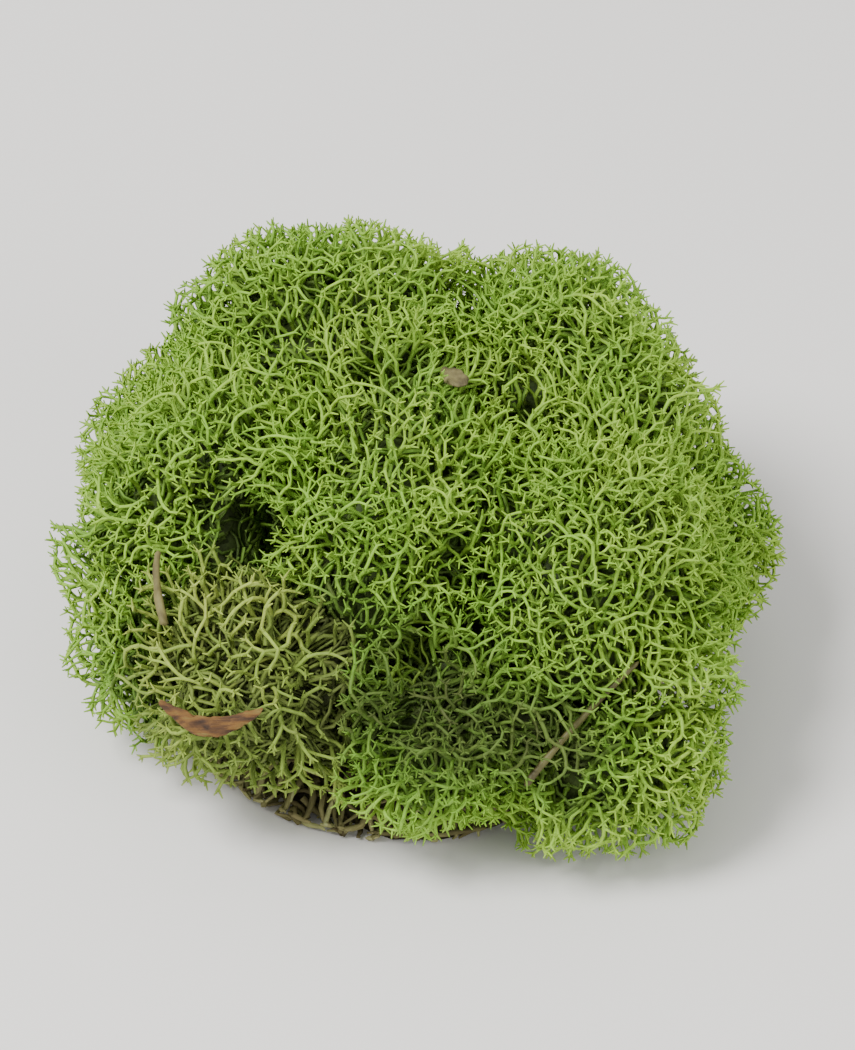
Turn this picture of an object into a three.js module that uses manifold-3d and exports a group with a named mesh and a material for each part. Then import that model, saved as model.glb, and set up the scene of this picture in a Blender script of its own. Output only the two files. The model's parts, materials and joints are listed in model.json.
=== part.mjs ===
// A clump of reindeer moss, as picked: a cushion of rounded crowns, each one a tuft of stalks
// that fork again and again and end in open stars. The stalks draw together towards a mat of
// old, dead stems, which is what the clump rests on. Dry forest litter is caught in the crowns.
// Millimetres, +Z up. The origin is the middle of the clump's footprint on the surface it lies on.
import * as THREE from "three";
import { ConvexGeometry } from "three/addons/geometries/ConvexGeometry.js";
import { mergeVertices } from "three/addons/utils/BufferGeometryUtils.js";
import Module from "manifold-3d";

const wasm = await Module();
wasm.setup();

// ---- Driving dimensions ----------------------------------------------------------------------

const gap = 0.32; // between two pieces that press on each other
const lowestTip = 2.2; // the crowns stay this far above the surface
const scrap = 0.05; // how far simplifying a union or a cut may move its surface

// Every stalk points away from this spot under the clump.
const focus = new THREE.Vector3(0, 0, -30);

// The crowns: where the middle of each is, and how far its longest tips reach from there.
const crowns = [
  { name: "crown_centre", at: [-2, -7, 33], reach: 29 },
  { name: "crown_right", at: [24, -12.5, 28], reach: 30 },
  { name: "crown_back_right", at: [21.5, 18.5, 34], reach: 29 },
  { name: "crown_back_left", at: [-10.5, 22.5, 37], reach: 29.5 },
  { name: "crown_left", at: [-26, 1, 31], reach: 26.5 },
  { name: "crown_front_left", at: [-19.5, -26, 22], reach: 24.5, open: true },
  { name: "crown_front", at: [7, -31, 19], reach: 23.5 },
  { name: "crown_far_right", at: [37, 8, 20], reach: 22 },
  { name: "crown_front_right", at: [28, -32, 16], reach: 22 },
  { name: "crown_far_left", at: [-37, -12.5, 18], reach: 20 },
  { name: "crown_back_corner", at: [-30, 23.5, 23], reach: 23 },
  { name: "crown_back", at: [11.5, 36, 22], reach: 22 },
];

// How high a crown is over its middle, and how far it hangs below it, as shares of its reach,
// and how deep and how close together the lumps of its surface are.
const dome = { above: 0.9, below: 0.72, lump: 0.06, waves: [5.1, 4.7, 5.9] };

// How far, in radians, a crown's direction may be turned to the rim where a wall cuts its dome.
const rimTurn = 0.3;

// One forked twig: a three-sided stem, three branches and three points on each branch.
const twig = {
  area: 196, // of crown surface for each twig
  openArea: 240, // and where the crown is open
  share: 0.48, // of the crown's reach is twig, and the rest is core
  openShare: 0.56,
  stem: 5.2,
  branch: 3.4,
  point: 3.1,
  length: 10.8, // from its foot to its outer tips, before it is fitted to its crown
  hubRadius: 2.4,
  starRadius: 1.7,
  rise: 0.6, // how far a fork's middle stands above its rim
  spread: 0.88, // radians between a stem and its branches
  twist: 0.25, // radians that a fork may be turned by
  lean: 0.12, // how far off straight out a twig may lean
  vary: 0.2, // how much lengths and angles differ from twig to twig
  uneven: 0.08, // how much shorter than its crown's reach a twig may be
  margin: 0.03, // of the room on each side of it that a twig leaves free
  lowest: -0.3, // twigs grow no lower on a crown: this is the sine of the angle below its middle
  squeezed: 0.45, // nor where neighbours leave less than this share of the crown's reach
};

// The stalks stand in a ring, one for each area of their crown, and are a little bent.
const stalk = {
  radius: 1.2,
  sides: 4,
  steps: 2,
  area: 760,
  least: 2,
  ring: 4.5,
  ringShare: 0.45, // of the narrowest room round a crown's middle, where that is less
  bend: 1,
  foot: 3.5, // how high over the surface they end
};

// The mat of old stems, as rings from its foot to its top: share of its radius, and height.
const mat = {
  radius: 35,
  rings: [
    [0.72, 0],
    [0.97, 3],
    [0.98, 6],
    [0.78, 8.6],
    [0.42, 10.2],
  ],
  top: 11,
  sectors: 13,
  lump: 0.05,
};

// The broken old stems that stand out of the mat, on its lower bands between two rings.
const stub = { bands: 3, length: 4, radius: 1.1, lean: 1.6, vary: 0.4, lowest: 0.6 };

// Litter lies on the crowns: "at" is where it is dropped from, "fall" the way that it falls
// until it rests, and "along" the way that its length points.
const litter = {
  needle: {
    at: [25, -48, 34],
    fall: [0, 0.7, -0.71],
    along: [16.7, 14, 11.7],
    length: 24,
    radius: 0.62,
    bow: 0.5,
  },
  twig: {
    at: [-36, -24, 38],
    fall: [0.4, 0.6, -0.7],
    along: [-0.2, 0.6, 0.77],
    length: 11,
    radius: 0.75,
    bow: 0.7,
  },
  bark: {
    at: [-29, -48, 37],
    fall: [0.15, 0.7, -0.69],
    along: [1, 0, -0.1],
    length: 15,
    width: 3.2,
    thickness: 1,
    bow: -3,
  },
  scale: {
    at: [7, 3.5, 60],
    fall: [0, 0, -1],
    along: [0.6, -0.7, 0.3],
    length: 5.2,
    width: 4,
    thickness: 1.3,
    bow: 0,
  },
};
const stickTaper = 0.35; // of its radius, from one end to the other
const shellEnd = 0.25; // how wide a flake's ends are, as a share of its middle

// ---- Small helpers ---------------------------------------------------------------------------

const vec = (x, y, z) => new THREE.Vector3(x, y, z);
const middleOf = (...points) =>
  points.reduce((sum, point) => sum.add(point), vec(0, 0, 0)).divideScalar(points.length);

// A seeded source of even random numbers from 0 to 1.
function seeded(seed) {
  let state = seed >>> 0;
  return () => {
    state = (state + 0x6d2b79f5) >>> 0;
    let t = state;
    t = Math.imul(t ^ (t >>> 15), t | 1);
    t ^= t + Math.imul(t ^ (t >>> 7), t | 61);
    return ((t ^ (t >>> 14)) >>> 0) / 4294967296;
  };
}

const around = (random, middle, share) => middle * (1 + share * (2 * random() - 1));

// Two unit vectors square to a direction and to each other, turned by an angle about it.
function squareTo(direction, angle = 0) {
  const other = Math.abs(direction.z) < 0.9 ? vec(0, 0, 1) : vec(1, 0, 0);
  const u = other.cross(direction).normalize().applyAxisAngle(direction, angle);
  return [u, direction.clone().cross(u)];
}

// Points of a regular polygon about a centre, square to a direction.
function ringPoints(centre, direction, angle, radius, sides) {
  const [u, v] = squareTo(direction, angle);
  return Array.from({ length: sides }, (_, i) => {
    const turn = (2 * Math.PI * i) / sides;
    const point = centre.clone().addScaledVector(u, radius * Math.cos(turn));
    return point.addScaledVector(v, radius * Math.sin(turn));
  });
}

// Directions spread evenly about an axis, by the golden angle.
function evenDirections(count, axis, angle) {
  const goldenAngle = Math.PI * (3 - Math.sqrt(5));
  const [u, v] = squareTo(axis, angle);
  return Array.from({ length: count }, (_, i) => {
    const along = 1 - (2 * (i + 0.5)) / count;
    const across = Math.sqrt(1 - along * along);
    const direction = axis.clone().multiplyScalar(along);
    direction.addScaledVector(u, across * Math.cos(i * goldenAngle));
    return direction.addScaledVector(v, across * Math.sin(i * goldenAngle));
  });
}

// The points of a three.js geometry, each of them once, and its triangles as their numbers.
function meshFrom(geometry) {
  geometry.deleteAttribute("normal");
  geometry.deleteAttribute("uv");
  const { attributes, index } = mergeVertices(geometry, 1e-4);
  const points = Array.from({ length: attributes.position.count }, (_, i) =>
    vec(0, 0, 0).fromBufferAttribute(attributes.position, i),
  );
  const triangles = Array.from({ length: index.count / 3 }, (_, i) => [
    index.getX(3 * i),
    index.getX(3 * i + 1),
    index.getX(3 * i + 2),
  ]);
  return { points, triangles };
}

function solidFrom({ points, triangles }) {
  const vertProperties = new Float32Array(points.flatMap((point) => [point.x, point.y, point.z]));
  const triVerts = new Uint32Array(triangles.flat());
  return new wasm.Manifold(new wasm.Mesh({ numProp: 3, vertProperties, triVerts }));
}

// A tube with few sides along a smooth curve.
function tube(path, radius, sides, steps) {
  const outline = new THREE.Shape(
    Array.from({ length: sides }, (_, i) => {
      const turn = (2 * Math.PI * i) / sides;
      return new THREE.Vector2(radius * Math.cos(turn), radius * Math.sin(turn));
    }),
  );
  const extrudePath = new THREE.CatmullRomCurve3(path);
  const options = { steps, extrudePath, bevelEnabled: false };
  return solidFrom(meshFrom(new THREE.ExtrudeGeometry(outline, options)));
}

// A closed skin through rings of points, each ring with as many points as the one before it.
function lofted(rings) {
  const sides = rings[0].length;
  const points = rings.flat();
  const triangles = [];
  for (let side = 1; side < sides - 1; side++) {
    const last = (rings.length - 1) * sides;
    triangles.push([0, side + 1, side], [last, last + side, last + side + 1]);
  }
  for (let ring = 0; ring < rings.length - 1; ring++) {
    for (let side = 0; side < sides; side++) {
      const [a, b] = [ring * sides + side, ring * sides + ((side + 1) % sides)];
      triangles.push([a, b, b + sides], [a, b + sides, a + sides]);
    }
  }
  return solidFrom({ points, triangles });
}

// ---- Where each crown may grow ---------------------------------------------------------------

// Neighbouring crowns meet at a plane through the focus, so stalks and tips keep to their side.
for (const crown of crowns) {
  crown.centre = vec(...crown.at);
  const ray = crown.centre.clone().sub(focus);
  crown.axis = ray.clone().normalize();
  crown.pull = crown.axis.clone().divideScalar(Math.sqrt(1 - (crown.reach / ray.length()) ** 2));
}
for (const crown of crowns) {
  crown.walls = [{ normal: vec(0, 0, 1), offset: lowestTip }];
  for (const other of crowns.filter((each) => each !== crown)) {
    const normal = crown.pull.clone().sub(other.pull).normalize();
    crown.walls.push({ normal, offset: normal.dot(focus) + gap / 2 });
  }
}

// How far a crown can reach from its middle in a direction before it meets a wall.
function roomTowards(crown, direction) {
  let room = Infinity;
  for (const { normal, offset } of crown.walls) {
    const towards = -normal.dot(direction);
    if (towards > 0) room = Math.min(room, (crown.centre.dot(normal) - offset) / towards);
  }
  return room;
}

// A crown left to itself is a dome, hollowed below, with a few lumps that repeat nowhere.
function fullReach(crown, direction) {
  const along = direction.dot(crown.axis);
  const across = Math.sqrt(Math.max(0, 1 - along * along));
  const round = 1 / Math.hypot(across, along / (along > 0 ? dome.above : dome.below));
  const turn = crown.at[0] * 0.7 + crown.at[1] * 0.3;
  const waves = direction.toArray().map((part, i) => dome.waves[i] * part + (i + 1) * turn);
  const lumps = waves.reduce((sum, wave) => sum + Math.sin(wave), 0);
  return crown.reach * round * (1 + dome.lump * lumps);
}

// ---- Twigs -----------------------------------------------------------------------------------

// The corners of a face of a core when the core is even all round, as seen from its middle with
// the face's own middle straight up.
function evenCorners(coreRadius, flare) {
  return [0, 1, 2].map((corner) => {
    const turn = Math.PI / 2 + (2 * Math.PI * corner) / 3;
    return vec(flare * Math.cos(turn), flare * Math.sin(turn), 1).multiplyScalar(coreRadius);
  });
}

// The linear map that takes the first three points to the other three.
function mapBetween(points, others) {
  const columns = ([a, b, c]) =>
    new THREE.Matrix3().set(a.x, b.x, c.x, a.y, b.y, c.y, a.z, b.z, c.z);
  return columns(others).multiply(columns(points).invert());
}

// Draws a forked twig on the face between three corners, as points and triangles. The first three
// points are the corners themselves.
function drawTwig(corners, size, random) {
  const points = [...corners];
  const triangles = [];
  const add = (point) => points.push(point) - 1;
  // Three points about a centre, numbered so that a face's side lies between two of them.
  const ring = (centre, along, side, radius) =>
    [210, 330, 90].map((degrees) => {
      const arm = side.clone().applyAxisAngle(along, THREE.MathUtils.degToRad(degrees));
      return add(arm.multiplyScalar(radius).add(centre));
    });
  const skin = (from, to) => {
    for (let i = 0; i < 3; i++) {
      const j = (i + 1) % 3;
      triangles.push([from[i], from[j], to[j]], [from[i], to[j], to[i]]);
    }
  };
  const sideOf = (from, to, along) => {
    const side = points[to].clone().sub(points[from]);
    return side.addScaledVector(along, -side.dot(along)).normalize();
  };
  // Splits the end of a three-sided stem into three bases, each with the way that it grows.
  const split = (end, along) => {
    const hub = middleOf(...end.map((id) => points[id]));
    const peak = add(hub.clone().addScaledVector(along, twig.rise));
    return [0, 1, 2].map((i) => {
      const base = [end[i], end[(i + 1) % 3], peak];
      const out = middleOf(points[base[0]], points[base[1]]).sub(hub);
      out.addScaledVector(along, -out.dot(along)).normalize();
      out.applyAxisAngle(along, twig.twist * (2 * random() - 1));
      const angle = around(random, twig.spread, twig.vary);
      const way = along.clone().multiplyScalar(Math.cos(angle));
      way.addScaledVector(out, Math.sin(angle));
      return { base, way, from: middleOf(...base.map((id) => points[id])) };
    });
  };

  const foot = middleOf(...corners);
  const direction = foot.clone().normalize();
  for (const sideways of squareTo(direction)) {
    direction.addScaledVector(sideways, twig.lean * (2 * random() - 1)).normalize();
  }
  // The stem is turned so that its branches go to the face's corners, where there is most room.
  const side = sideOf(0, 1, direction).applyAxisAngle(direction, Math.PI / 3);
  const top = foot.clone().addScaledVector(direction, around(random, twig.stem * size, twig.vary));
  const hub = ring(top, direction, side, twig.hubRadius);
  for (let i = 0; i < 3; i++) {
    triangles.push([i, (i + 1) % 3, hub[i]], [i, hub[i], hub[(i + 2) % 3]]);
  }
  for (const branch of split(hub, direction)) {
    const reach = around(random, twig.branch * size, twig.vary);
    const end = branch.from.addScaledVector(branch.way, reach);
    const branchSide = sideOf(branch.base[0], branch.base[1], branch.way);
    const star = ring(end, branch.way, branchSide, twig.starRadius);
    skin(branch.base, star);
    for (const { base, way, from } of split(star, branch.way)) {
      const tip = add(from.addScaledVector(way, around(random, twig.point * size, twig.vary)));
      for (let i = 0; i < 3; i++) triangles.push([base[i], base[(i + 1) % 3], tip]);
    }
  }
  return { points, triangles };
}

// Grows a forked twig on one face of a core, in one skin with it. The twig is drawn in a cone
// with even sides, fitted between its sides and under its end, and then mapped to the cone from
// the core's middle through the face. So it is clear of the twigs beside it and of the walls.
function growTwig({ points, triangles }, face, middle, cone, random) {
  const corners = evenCorners(cone.coreRadius, cone.flare);
  const drawn = drawTwig(corners, cone.size, random);
  const grown = drawn.points.slice(corners.length);
  const length = Math.max(...grown.map((point) => point.z)) - cone.coreRadius;
  const room = (cone.endRadius - cone.coreRadius) * (1 - twig.uneven * random());
  for (const point of grown) {
    point.z = cone.coreRadius + ((point.z - cone.coreRadius) * room) / length;
  }
  // How far out a point is towards each side of the cone, as a share of the way to it.
  const sides = corners.map(({ x, y }) => vec(-x, -y, 0).normalize());
  const sideAt = (height) => (cone.flare * height) / 2;
  const shares = grown.flatMap((point) => sides.map((side) => point.dot(side) / sideAt(point.z)));
  const narrowing = Math.min(1, (1 - twig.margin) / Math.max(...shares));
  const toFace = mapBetween(corners, face.map((id) => points[id].clone().sub(middle)));
  const ids = [...face];
  for (const { x, y, z } of grown) {
    const placed = vec(x * narrowing, y * narrowing, z).applyMatrix3(toFace).add(middle);
    ids.push(points.push(placed) - 1);
  }
  triangles.push(...drawn.triangles.map((triangle) => triangle.map((number) => ids[number])));
}

// ---- Crowns ----------------------------------------------------------------------------------

// A direction close to where a wall cuts the crown's dome is turned to that rim. The faces of the
// core then meet along the rim, so the crown fills its corner between its outside and the wall.
function turnedToRim(crown, direction) {
  let least = rimTurn;
  let turned = direction;
  for (const { normal, offset } of crown.walls) {
    const out = normal.clone().negate();
    const distance = crown.centre.dot(normal) - offset;
    const rimAngle = Math.acos(Math.min(1, distance / fullReach(crown, direction)));
    const turn = out.angleTo(direction) - rimAngle;
    if (Math.abs(turn) >= least) continue;
    least = Math.abs(turn);
    const hinge = direction.clone().cross(out).normalize();
    turned = direction.clone().applyAxisAngle(hinge, turn);
  }
  return turned;
}

// The stalks stand in a ring under the crown and draw together towards the focus.
function stalkPaths(crown, random) {
  const count = Math.max(stalk.least, Math.round((Math.PI * crown.reach ** 2) / stalk.area));
  const rooms = crown.walls.map(({ normal, offset }) => crown.centre.dot(normal) - offset);
  const radius = Math.min(stalk.ring, stalk.ringShare * Math.min(...rooms));
  const ring = ringPoints(crown.centre, crown.axis, random() * Math.PI, radius, count);
  return ring.map((top) => {
    const ray = top.clone().sub(focus);
    const foot = focus.clone().addScaledVector(ray, (stalk.foot - focus.z) / ray.z);
    const out = top.clone().sub(crown.centre).normalize();
    return [top, middleOf(top, foot).addScaledVector(out, 2 * stalk.bend * random()), foot];
  });
}

// A small faceted core with a twig on each face that looks outwards, and the stalks below it.
function buildCrown(crown, random) {
  const share = crown.open ? twig.openShare : twig.share;
  const area = crown.open ? twig.openArea : twig.area;
  const corners = Math.round((2 * Math.PI * crown.reach ** 2) / area) + 2;
  const directions = evenDirections(corners, crown.axis, random() * Math.PI);
  const core = meshFrom(new ConvexGeometry(directions.map((way) => turnedToRim(crown, way))));
  // A wall draws the core in by as much as it does the crown's outside.
  for (const point of core.points) {
    const way = point.clone().normalize();
    const reach = Math.min(fullReach(crown, way), roomTowards(crown, way));
    point.copy(crown.centre).addScaledVector(way, reach * (1 - share));
  }
  const cone = {
    coreRadius: crown.reach * (1 - share),
    endRadius: crown.reach,
    flare: Math.sqrt((4 * area) / (3 * Math.sqrt(3))) / crown.reach,
    size: (crown.reach * share) / twig.length,
  };
  const mesh = { points: core.points, triangles: [] };
  for (const face of core.triangles) {
    const way = middleOf(...face.map((id) => mesh.points[id])).sub(crown.centre).normalize();
    const squeezed = roomTowards(crown, way) < twig.squeezed * fullReach(crown, way);
    if (squeezed || way.dot(crown.axis) < twig.lowest) mesh.triangles.push(face);
    else growTwig(mesh, face, crown.centre, cone, random);
  }
  const stalks = crown.stalks.map((path) => tube(path, stalk.radius, stalk.sides, stalk.steps));
  return wasm.Manifold.union([solidFrom(mesh), ...stalks]).simplify(scrap);
}

// ---- Mat -------------------------------------------------------------------------------------

// The rings of a low lumpy loaf with a flat foot.
function loafRings(random) {
  return mat.rings.map(([share, height]) =>
    Array.from({ length: mat.sectors }, (_, sector) => {
      const turn = (2 * Math.PI * sector) / mat.sectors;
      const lumps = Math.sin(3 * turn + 0.7) + Math.sin(5 * turn + 2.1);
      const edge = mat.radius * share * (1 + mat.lump * lumps);
      const z = height === 0 ? 0 : around(random, height, mat.lump);
      return vec(edge * Math.cos(turn), edge * Math.sin(turn), z);
    }),
  );
}

// Draws one face of a closed mesh out into the blunt end of a broken stem.
function growStub({ points, triangles }, face, heart, random) {
  const middle = middleOf(...face.map((id) => points[id]));
  const out = middle.clone().sub(heart).normalize();
  const [side] = squareTo(out, 2 * Math.PI * random());
  const end = middle.clone().addScaledVector(out, around(random, stub.length, stub.vary));
  end.addScaledVector(side, stub.lean * random());
  end.z = Math.max(end.z, stub.lowest + stub.radius);
  const rim = face.map((id) => {
    const arm = points[id].clone().sub(middle).setLength(stub.radius);
    return points.push(arm.add(end)) - 1;
  });
  for (let i = 0; i < 3; i++) {
    const j = (i + 1) % 3;
    triangles.push([face[i], face[j], rim[j]], [face[i], rim[j], rim[i]]);
  }
  triangles.push(rim);
}

// The loaf's foot and top are left as they are: the one lies on the surface, and crowns hide the
// other.
function matMesh(random) {
  const rings = loafRings(random);
  const points = rings.flat();
  const heart = vec(0, 0, mat.rings[1][1]);
  const bottom = points.push(vec(0, 0, 0)) - 1;
  const top = points.push(vec(0, 0, mat.top)) - 1;
  const mesh = { points, triangles: [] };
  for (let sector = 0; sector < mat.sectors; sector++) {
    const next = (sector + 1) % mat.sectors;
    const last = (rings.length - 1) * mat.sectors;
    mesh.triangles.push([bottom, next, sector], [last + sector, last + next, top]);
    for (let ring = 0; ring < rings.length - 1; ring++) {
      const [a, b] = [ring * mat.sectors + sector, ring * mat.sectors + next];
      for (const face of [[a, b, b + mat.sectors], [a, b + mat.sectors, a + mat.sectors]]) {
        if (ring < stub.bands) growStub(mesh, face, heart, random);
        else mesh.triangles.push(face);
      }
    }
  }
  return mesh;
}

// A plane with all of the mat below it, tilted so that it leaves the crown the most room.
function matWall(crown, points) {
  const out = vec(crown.at[0], crown.at[1], 0).normalize();
  const roomAbove = ({ normal, offset }) => crown.centre.dot(normal) - offset;
  const tiltCount = 19;
  const tries = Array.from({ length: tiltCount }, (_, i) => {
    const tilt = (0.5 * Math.PI * i) / (tiltCount - 1);
    const normal = out.clone().multiplyScalar(Math.cos(tilt)).add(vec(0, 0, Math.sin(tilt)));
    return { normal, offset: Math.max(...points.map((point) => point.dot(normal))) + gap };
  });
  return tries.reduce((best, wall) => (roomAbove(wall) > roomAbove(best) ? wall : best));
}

// ---- Litter ----------------------------------------------------------------------------------

// Three unit vectors of a piece of litter: its length, its width and the way it faces.
function frameOf({ along, fall }) {
  const face = vec(...fall).normalize().negate();
  const length = vec(...along);
  length.addScaledVector(face, -length.dot(face)).normalize();
  return { length, width: face.clone().cross(length), face };
}

// Rings across a piece's length. The profile gives, for a share of the length, how far the ring
// is bowed to the side and its half width and half thickness.
function bowedRings(piece, sections, sides, profile) {
  const { length, width, face } = frameOf(piece);
  return Array.from({ length: sections + 1 }, (_, section) => {
    const share = section / sections;
    const { bow, halfWidth, halfThickness } = profile(share);
    const centre = vec(...piece.at).addScaledVector(length, (share - 0.5) * piece.length);
    centre.addScaledVector(width, bow);
    return Array.from({ length: sides }, (_unused, side) => {
      const turn = (2 * Math.PI * side) / sides;
      const point = centre.clone().addScaledVector(width, halfWidth * Math.cos(turn));
      return point.addScaledVector(face, halfThickness * Math.sin(turn));
    });
  });
}

const arch = (share) => Math.sin(Math.PI * share);

function stick(piece, sections, sides) {
  return lofted(
    bowedRings(piece, sections, sides, (share) => {
      const radius = piece.radius * (1 - stickTaper * share);
      return { bow: piece.bow * arch(share), halfWidth: radius, halfThickness: radius };
    }),
  );
}

function shell(piece, sections, sides) {
  return lofted(
    bowedRings(piece, sections, sides, (share) => {
      const swell = shellEnd + (1 - shellEnd) * arch(share);
      return {
        bow: piece.bow * arch(share),
        halfWidth: 0.5 * piece.width * swell,
        halfThickness: 0.5 * piece.thickness * swell,
      };
    }),
  );
}

// Lets a solid fall until it is one gap away from what it lands on.
function dropped(solid, fall, ground) {
  const way = vec(...fall).normalize();
  const fallen = (distance) => solid.translate(...way.clone().multiplyScalar(distance).toArray());
  const isClear = (distance) => ground.every((other) => fallen(distance).minGap(other, 1) >= gap);
  const step = 0.4;
  let distance = 0;
  while (isClear(distance + step)) distance += step;
  let [near, far] = [distance, distance + step];
  for (let i = 0; i < 8; i++) {
    const half = (near + far) / 2;
    if (isClear(half)) near = half;
    else far = half;
  }
  return fallen(near);
}

// ---- Assembly --------------------------------------------------------------------------------

const dry = (color) => new THREE.MeshStandardMaterial({ color, roughness: 0.85, metalness: 0 });
const materials = {
  moss: dry(0x6f9a34),
  paleMoss: dry(0x9aa657),
  oldStems: dry(0x4a4428),
  needle: dry(0x8a7650),
  twig: dry(0x94744c),
  bark: dry(0x8a5a32),
  scale: dry(0xa08f66),
};

const oldStems = matMesh(seeded(55));

const crownSolids = crowns.map((crown, index) => {
  const random = seeded(101 + index * 17);
  crown.walls.push(matWall(crown, oldStems.points));
  crown.stalks = stalkPaths(crown, random);
  return buildCrown(crown, random);
});
const holeRadius = stalk.radius + gap / Math.cos(Math.PI / stalk.sides);
const holes = crowns
  .flatMap((crown) => crown.stalks)
  .map(([top, bend, foot]) => {
    const deeper = foot.clone().sub(bend).setLength(gap).add(foot);
    return tube([top, bend, deeper], holeRadius, stalk.sides, stalk.steps);
  });
const matSolid = solidFrom(oldStems).subtract(wasm.Manifold.union(holes)).simplify(scrap);
const litterOn = (solid, { fall }) => dropped(solid, fall, crownSolids);

const mossOf = ({ open }) => (open ? materials.paleMoss : materials.moss);
const pieces = [
  ...crowns.map((crown, i) => [crown.name, crownSolids[i], mossOf(crown)]),
  ["stem_mat", matSolid, materials.oldStems],
  ["dry_needle", litterOn(stick(litter.needle, 3, 4), litter.needle), materials.needle],
  ["dry_twig", litterOn(stick(litter.twig, 4, 5), litter.twig), materials.twig],
  ["bark_flake", litterOn(shell(litter.bark, 6, 6), litter.bark), materials.bark],
  ["seed_scale", litterOn(shell(litter.scale, 4, 8), litter.scale), materials.scale],
];

const boxes = pieces.map(([, solid]) => solid.boundingBox());
const low = [0, 1, 2].map((axis) => Math.min(...boxes.map(({ min }) => min[axis])));
const high = [0, 1, 2].map((axis) => Math.max(...boxes.map(({ max }) => max[axis])));
const toOrigin = [-(low[0] + high[0]) / 2, -(low[1] + high[1]) / 2, -low[2]];

const clump = new THREE.Group();
clump.name = "reindeer_moss_clump";
for (const [name, solid, material] of pieces) {
  const { vertProperties, triVerts } = solid.translate(...toOrigin).getMesh();
  const geometry = new THREE.BufferGeometry();
  geometry.setAttribute("position", new THREE.BufferAttribute(new Float32Array(vertProperties), 3));
  geometry.setIndex(new THREE.BufferAttribute(new Uint32Array(triVerts), 1));
  const mesh = new THREE.Mesh(geometry, material);
  mesh.name = name;
  clump.add(mesh);
}
export default clump;
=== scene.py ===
import json
import math

import bmesh
import bpy
import numpy as np
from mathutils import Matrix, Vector, noise
from mathutils.kdtree import KDTree

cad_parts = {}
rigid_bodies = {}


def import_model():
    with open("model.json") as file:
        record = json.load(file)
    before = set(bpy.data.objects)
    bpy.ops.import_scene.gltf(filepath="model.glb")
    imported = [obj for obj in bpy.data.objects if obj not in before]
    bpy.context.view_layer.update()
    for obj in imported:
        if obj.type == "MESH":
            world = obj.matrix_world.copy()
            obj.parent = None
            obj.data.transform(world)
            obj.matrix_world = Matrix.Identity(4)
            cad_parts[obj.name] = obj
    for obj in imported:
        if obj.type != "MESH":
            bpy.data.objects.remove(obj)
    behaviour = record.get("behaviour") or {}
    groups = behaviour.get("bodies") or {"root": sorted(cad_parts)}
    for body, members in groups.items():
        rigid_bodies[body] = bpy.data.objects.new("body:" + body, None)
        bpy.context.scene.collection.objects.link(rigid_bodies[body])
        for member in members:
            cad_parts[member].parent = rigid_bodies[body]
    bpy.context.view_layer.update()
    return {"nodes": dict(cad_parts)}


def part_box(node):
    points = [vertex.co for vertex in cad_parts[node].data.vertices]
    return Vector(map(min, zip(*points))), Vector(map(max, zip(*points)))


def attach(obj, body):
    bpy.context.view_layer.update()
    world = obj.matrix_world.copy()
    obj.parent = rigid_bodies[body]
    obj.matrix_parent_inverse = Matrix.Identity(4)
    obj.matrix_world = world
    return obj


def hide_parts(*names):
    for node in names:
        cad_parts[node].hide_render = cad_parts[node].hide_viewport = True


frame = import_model()
mm = 0.001


# ---- Crowns: where their strands fork --------------------------------------------------------
# Each crown is one tuft of reindeer moss, a lichen with no leaves or roots. Its strands fork
# every two or three millimetres until they meet the next strand, so they fill a thick shell
# under the crown's outside. Below it the strands are dead, brown and packed together.

# The middle of each crown, the reach that it has when left to itself, and how open its net of
# strands is, from 0 for close to 1 for the open and pale crown at the front.
CROWNS = {
    "crown_centre": ((-2, -7, 33), 29, 0.15),
    "crown_right": ((24, -12.5, 28), 30, 0),
    "crown_back_right": ((21.5, 18.5, 34), 29, 0),
    "crown_back_left": ((-10.5, 22.5, 37), 29.5, 0.15),
    "crown_left": ((-26, 1, 31), 26.5, 0.35),
    "crown_front_left": ((-19.5, -26, 22), 24.5, 1),
    "crown_front": ((7, -31, 19), 23.5, 0.25),
    "crown_far_right": ((37, 8, 20), 22, 0),
    "crown_front_right": ((28, -32, 16), 22, 0.1),
    "crown_far_left": ((-37, -12.5, 18), 20, 0.15),
    "crown_back_corner": ((-30, 23.5, 23), 23, 0.1),
    "crown_back": ((11.5, 36, 22), 22, 0.1),
}
CLUMP_MIDDLE = np.array((-3.08, -1.38, 0)) * mm  # where the crowns' own origin is
FOCUS = np.array((0, 0, -30)) * mm + CLUMP_MIDDLE  # all stalks point away from here

names = list(CROWNS)
planned = np.array([CROWNS[name][0] for name in names])
centres = planned * mm + CLUMP_MIDDLE
reaches = np.array([CROWNS[name][1] for name in names]) * mm
openness = np.array([CROWNS[name][2] for name in names])
rays = centres - FOCUS
ray_lengths = np.linalg.norm(rays, axis=1)
axes = rays / ray_lengths[:, None]
# Two crowns meet where these two vectors pull equally, so a point belongs to what pulls most.
pulls = axes / np.sqrt(1 - (reaches / ray_lengths) ** 2)[:, None]

# A crown left to itself is this dome: its height over its middle and its depth below, as shares
# of its reach, and the lumps of its surface.
DOME_ABOVE, DOME_BELOW, DOME_LUMP, DOME_WAVES = 0.9, 0.72, 0.06, np.array((5.1, 4.7, 5.9))
TIP_WIDTH = 0.5  # how fast the outside falls away beside a tip of the solid, per radian squared
CLOSED_UP = 0.9  # of a dome's reach is what a crown has where it grows into its neighbours
CREASE_FILL = 2.2 * mm  # how widely two crowns' outsides run into one another
CREASE_REACH = 1.4  # reaches from its middle, a crown no longer counts in that
SWELLING, SWELLING_SIZE = 1.6 * mm, 8 * mm  # small lobes all over the crowns
# The corners of a solid that belong to its stalks lie below this cosine to the crown's axis, or
# nearer to its middle than this share of its reach.
STALK_COSINE, STALK_SHARE = -0.8, 0.3
UNDERSIDE = -0.7  # no strand starts below this cosine to the axis
DIRECTIONS_AT_ONCE = 2000

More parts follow.
